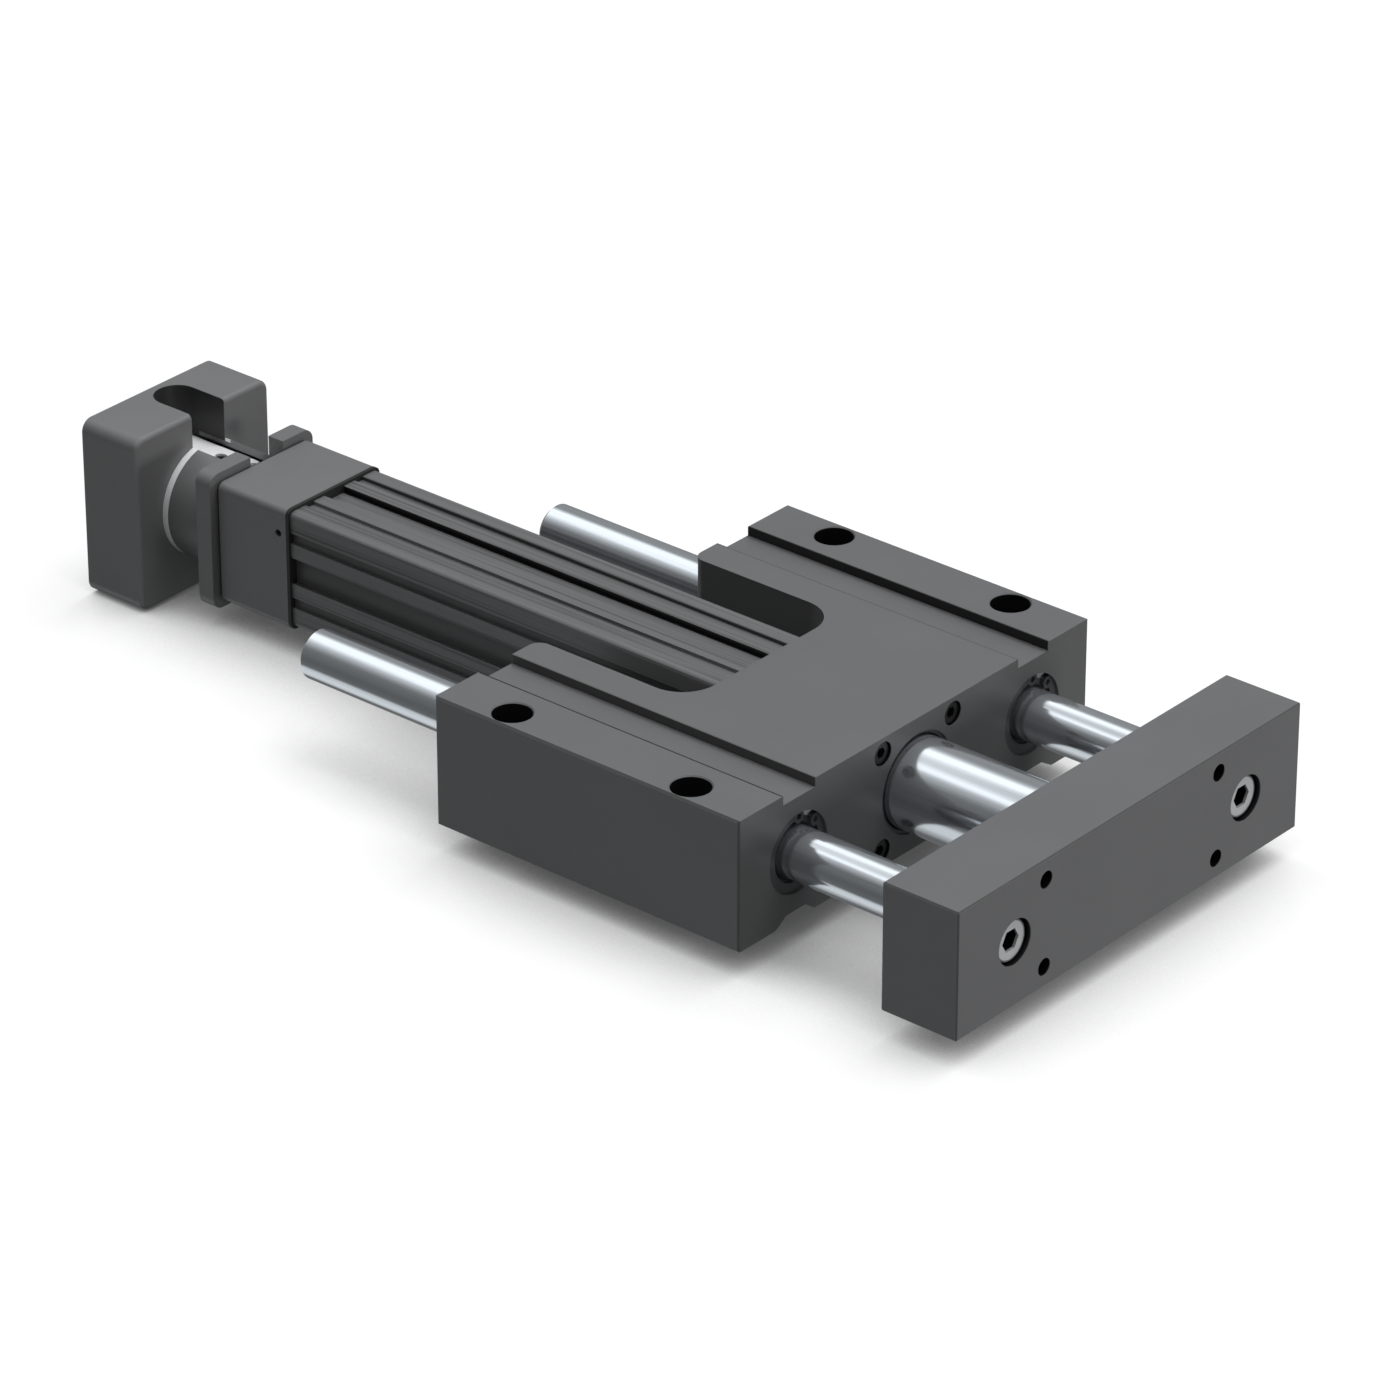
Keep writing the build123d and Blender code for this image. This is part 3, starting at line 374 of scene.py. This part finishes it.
ANODISED = {"metallic": 0.25, "grain": even(900), "vary": 0.06}
TURNED = (2500, 60, 60)
FINISHES = {
    "anodised_block": surface("anodised block", (0.165, 0.165, 0.168), roughness=0.46,
                              marks_and_shade=block_painted_shade, **ANODISED),
    "anodised_plate": surface("anodised plate", (0.165, 0.165, 0.168), roughness=0.46,
                              marks_and_shade=plate_painted_shade, **ANODISED),
    "anodised_tube": surface("anodised tube", (0.178, 0.178, 0.18), metallic=0.3, roughness=0.42,
                             grain=(12, 1400, 1400), cloud=(6, 160, 160), vary=0.14,
                             marks_and_shade=tube_painted_shade, streaks=((3, 600, 600), 0.75)),
    # The housing's and the mount's greys are lighter than the block's: painted light, so that they show as
    # bright as the block
    "anodised_housing": surface("anodised housing", (0.19, 0.19, 0.192), roughness=0.45, **ANODISED),
    "anodised_mount": surface("anodised mount", (0.2, 0.2, 0.202), roughness=0.45,
                              marks_and_shade=mount_painted_shade, **ANODISED),
    "chromed_rod": surface("chromed rod", (0.75, 0.785, 0.82), metallic=0.9, roughness=0.14,
                           grain=(30, 2500, 2500), cloud=(8, 60, 60), depth=0.01, vary=0.03,
                           rough_vary=0.03, streaks=((6, 900, 900), 0.12)),
    "polished_ring": surface("polished ring", (0.95, 0.95, 0.955), metallic=0.1, roughness=0.35,
                             grain=TURNED, vary=0.03, rough_vary=0.04),
    "bright_aluminium": surface("bright aluminium", (0.9, 0.9, 0.91), metallic=0.15, roughness=0.38,
                                grain=TURNED, vary=0.04),
    "bearing_steel": surface("bearing steel", (0.62, 0.63, 0.64), metallic=1.0, roughness=0.22,
                             grain=TURNED, vary=0.05),
    "blackened_steel": surface("blackened steel", (0.03, 0.03, 0.031), metallic=0.6, roughness=0.35,
                               grain=even(600), vary=0.15),
    "zinc_screw": surface("zinc screw", (0.6, 0.605, 0.61), metallic=0.3, roughness=0.4,
                          grain=even(900), marks_and_shade=cap_screw_painted_shade),
    "black_rubber": surface("black rubber", (0.018, 0.018, 0.018), metallic=0.0, roughness=0.6,
                            grain=even(700), vary=0.2),
    "ring_steel": surface("phosphated ring", (0.085, 0.085, 0.087), metallic=0.4, roughness=0.45,
                          grain=even(900), vary=0.12),
    "grey_wiper": surface("grey wiper", (0.07, 0.07, 0.071), metallic=0.0, roughness=0.55,
                          grain=even(700), vary=0.15),
    "cased_wiper": surface("cased wiper", (0.018, 0.018, 0.018), metallic=0.1, roughness=0.5,
                           grain=even(700), vary=0.2, marks_and_shade=wiper_marks),
    "bush_bronze": surface("bush bronze", (0.45, 0.3, 0.15), metallic=1.0, roughness=0.35,
                           grain=even(900), vary=0.12),
    "bearing_polymer": surface("bearing polymer", (0.03, 0.03, 0.03), metallic=0.0, roughness=0.45,
                               grain=even(500), vary=0.15),
    "spider_elastomer": surface("spider elastomer", (0.02, 0.02, 0.022), metallic=0.0, roughness=0.5,
                                grain=even(500), vary=0.15),
    "magnet": surface("magnet", (0.08, 0.08, 0.08), metallic=0.7, roughness=0.5,
                      grain=even(700), vary=0.15),
}
# Pieces whose finish isn't the one that their material slot names
OWN_FINISH = {
    "tool_plate": "anodised_plate",
    "retaining_rings": "ring_steel",
    "bushing_wipers": "grey_wiper",
    "rod_wiper": "cased_wiper",
    "motor_mount": "anodised_mount",
}

for entry in frame["record"]["subparts"]:
    piece = frame["nodes"][entry["node"]]
    piece.data.materials.clear()
    piece.data.materials.append(FINISHES[OWN_FINISH.get(entry["node"], entry["material_slot"])])


def seen(n):
    """1 for camera, glossy and transmission rays, which show the background itself."""
    path = n.nodes.new("ShaderNodeLightPath")
    first = n.either(path.outputs["Is Camera Ray"], path.outputs["Is Glossy Ray"])
    return n.either(first, path.outputs["Is Transmission Ray"])


def floor():
    """Pale floor that shows white to the camera, with a contact shadow painted into its glow, keeps the soft
    shadows and throws little light back up.
    """
    bpy.ops.mesh.primitive_plane_add(size=FLOOR_SIZE, location=(0, 0, FLOOR_Z))
    plane = bpy.context.object
    plane.name = "studio_floor"
    material = bpy.data.materials.new("studio floor")
    n = Nodes(material)
    shown = seen(n)
    # A contact shadow is painted into the glow: it dims with the ambient occlusion near the part
    shadow_occlusion = n.nodes.new("ShaderNodeAmbientOcclusion")
    shadow_occlusion.samples = PAINTED_SHADOW_SAMPLES
    shadow_occlusion.inputs["Distance"].default_value = PAINTED_SHADOW_REACH
    painted_shadow = n.remap(shadow_occlusion.outputs["AO"], PAINTED_SHADOW_SPAN, PAINTED_SHADOW_GLOW, 1.0)
    diffuse = n.nodes.new("ShaderNodeBsdfDiffuse")
    n.feed(diffuse.inputs["Color"], n.mix(shown, tone(FLOOR_BOUNCE), tone(FLOOR_SHOWN)))
    glow = n.nodes.new("ShaderNodeEmission")
    n.feed(glow.inputs["Strength"], n.both(n.both(shown, painted_shadow), FLOOR_GLOW))
    add = n.nodes.new("ShaderNodeAddShader")
    n.links.new(diffuse.outputs["BSDF"], add.inputs[0])
    n.links.new(glow.outputs["Emission"], add.inputs[1])
    n.output(add.outputs["Shader"])
    plane.data.materials.append(material)
    plane.visible_glossy = False


def studio_world():
    """White background, with light that falls mostly from above."""
    world = bpy.data.worlds.new("studio")
    bpy.context.scene.world = world
    n = Nodes(world)
    x, y, z = n.split(n.place("Generated"))
    dim = n.nodes.new("ShaderNodeBackground")
    n.feed(dim.inputs["Color"], tone(SKY_TINT))
    n.feed(dim.inputs["Strength"], n.remap(z, (SKY_START, 1.0), SKY_LOW, SKY_HIGH))
    white = n.nodes.new("ShaderNodeBackground")
    mix = n.nodes.new("ShaderNodeMixShader")
    n.feed(mix.inputs["Fac"], seen(n))
    n.links.new(dim.outputs["Background"], mix.inputs[1])
    n.links.new(white.outputs["Background"], mix.inputs[2])
    n.output(mix.outputs["Shader"], "World")


def bands(n, elevation, stops):
    """Colour ramp over the elevation angle, from -90 to 90 degrees."""
    ramp = n.nodes.new("ShaderNodeValToRGB")
    n.feed(ramp.inputs["Fac"], n.remap(elevation, (-90, 90), 0, 1))
    elements = ramp.color_ramp.elements
    for i, (angle, light) in enumerate(stops):
        spot = (angle + 90) / 180
        element = elements[i] if i < 2 else elements.new(spot)
        element.position = spot
        share = light / DOME_LIGHT
        element.color = tone([share * c for c in DOME_TINT])
    return ramp.outputs["Color"]


def dome_mesh(rings=24, steps=48):
    """Sphere of rings from the lowest to the highest point, each with its steps round Z."""
    corners = []
    faces = []
    for i in range(rings + 1):
        tilt = math.pi * (i / rings - 0.5)
        for j in range(steps):
            turn = 2 * math.pi * j / steps
            corners.append((DOME_RADIUS * math.cos(tilt) * math.cos(turn),
                            DOME_RADIUS * math.cos(tilt) * math.sin(turn),
                            DOME_RADIUS * math.sin(tilt)))
    for i in range(rings):
        for j in range(steps):
            k = (j + 1) % steps
            faces.append((i * steps + j, i * steps + k, (i + 1) * steps + k, (i + 1) * steps + j))
    mesh = bpy.data.meshes.new("studio_dome")
    mesh.from_pydata(corners, [], faces)
    return mesh


def reflection_dome():
    """Studio walls seen only in reflections: panels and dark gaps that give the metal its bands."""
    mesh = dome_mesh()
    dome = bpy.data.objects.new("studio_dome", mesh)
    bpy.context.scene.collection.objects.link(dome)
    material = bpy.data.materials.new("studio dome")
    n = Nodes(material)
    normal = n.nodes.new("ShaderNodeVectorMath")
    normal.operation = "NORMALIZE"
    n.links.new(n.place(), normal.inputs[0])
    x, y, z = n.split(normal.outputs["Vector"])
    elevation = n.math("MULTIPLY", n.math("ARCSINE", z), 180 / math.pi)
    side = n.remap(y, (-DOME_BLEND, DOME_BLEND), 0.0, 1.0)
    colour = n.mix(side, bands(n, elevation, NEAR_BANDS), bands(n, elevation, FAR_BANDS))
    glow = n.nodes.new("ShaderNodeEmission")
    n.links.new(colour, glow.inputs["Color"])
    glow.inputs["Strength"].default_value = DOME_LIGHT
    n.output(glow.outputs["Emission"])
    mesh.materials.append(material)
    dome.visible_camera = False
    dome.visible_diffuse = False
    dome.visible_shadow = False
    dome.visible_transmission = False


def hang(name, data, turn, place=(0, 0, 0)):
    """Puts a lamp or camera in the scene, turned by a quaternion."""
    thing = bpy.data.objects.new(name, data)
    thing.location = place
    thing.rotation_euler = turn.to_euler()
    bpy.context.scene.collection.objects.link(thing)
    return thing


def soft_sun(name, source, spread, strength):
    """Wide distant lamp that shines from the direction source, not shown in reflections."""
    data = bpy.data.lights.new(name, "SUN")
    data.angle = math.radians(spread)
    data.energy = strength
    hang(name, data, Vector(source).to_track_quat("Z", "Y")).visible_glossy = False


def soft_light(name, place, aim, size, watts):
    """Square lamp at place, turned to aim, not shown in reflections."""
    data = bpy.data.lights.new(name, "AREA")
    data.shape = "SQUARE"
    data.size = size
    data.energy = watts
    turn = (Vector(aim) - Vector(place)).to_track_quat("-Z", "Y")
    hang(name, data, turn, place).visible_glossy = False


floor()
studio_world()
reflection_dome()
soft_sun("top_light", source=(0.3, 0.6, 2.0), spread=35, strength=1.55)
soft_light("front_light", place=(1.25, 0.5, 0.11), aim=(0.1, 0, 0.03), size=0.4, watts=9)

eye = bpy.data.cameras.new("photo_camera")
eye.lens = LENS_MM
eye.sensor_width = SENSOR_MM
eye.clip_start = CLIP_START
eye.clip_end = CLIP_END
view = (TARGET - STATION).to_track_quat("-Z", "Y")
bpy.context.scene.camera = hang("photo_camera", eye, view, STATION)
bpy.context.scene.view_settings.view_transform = "Standard"
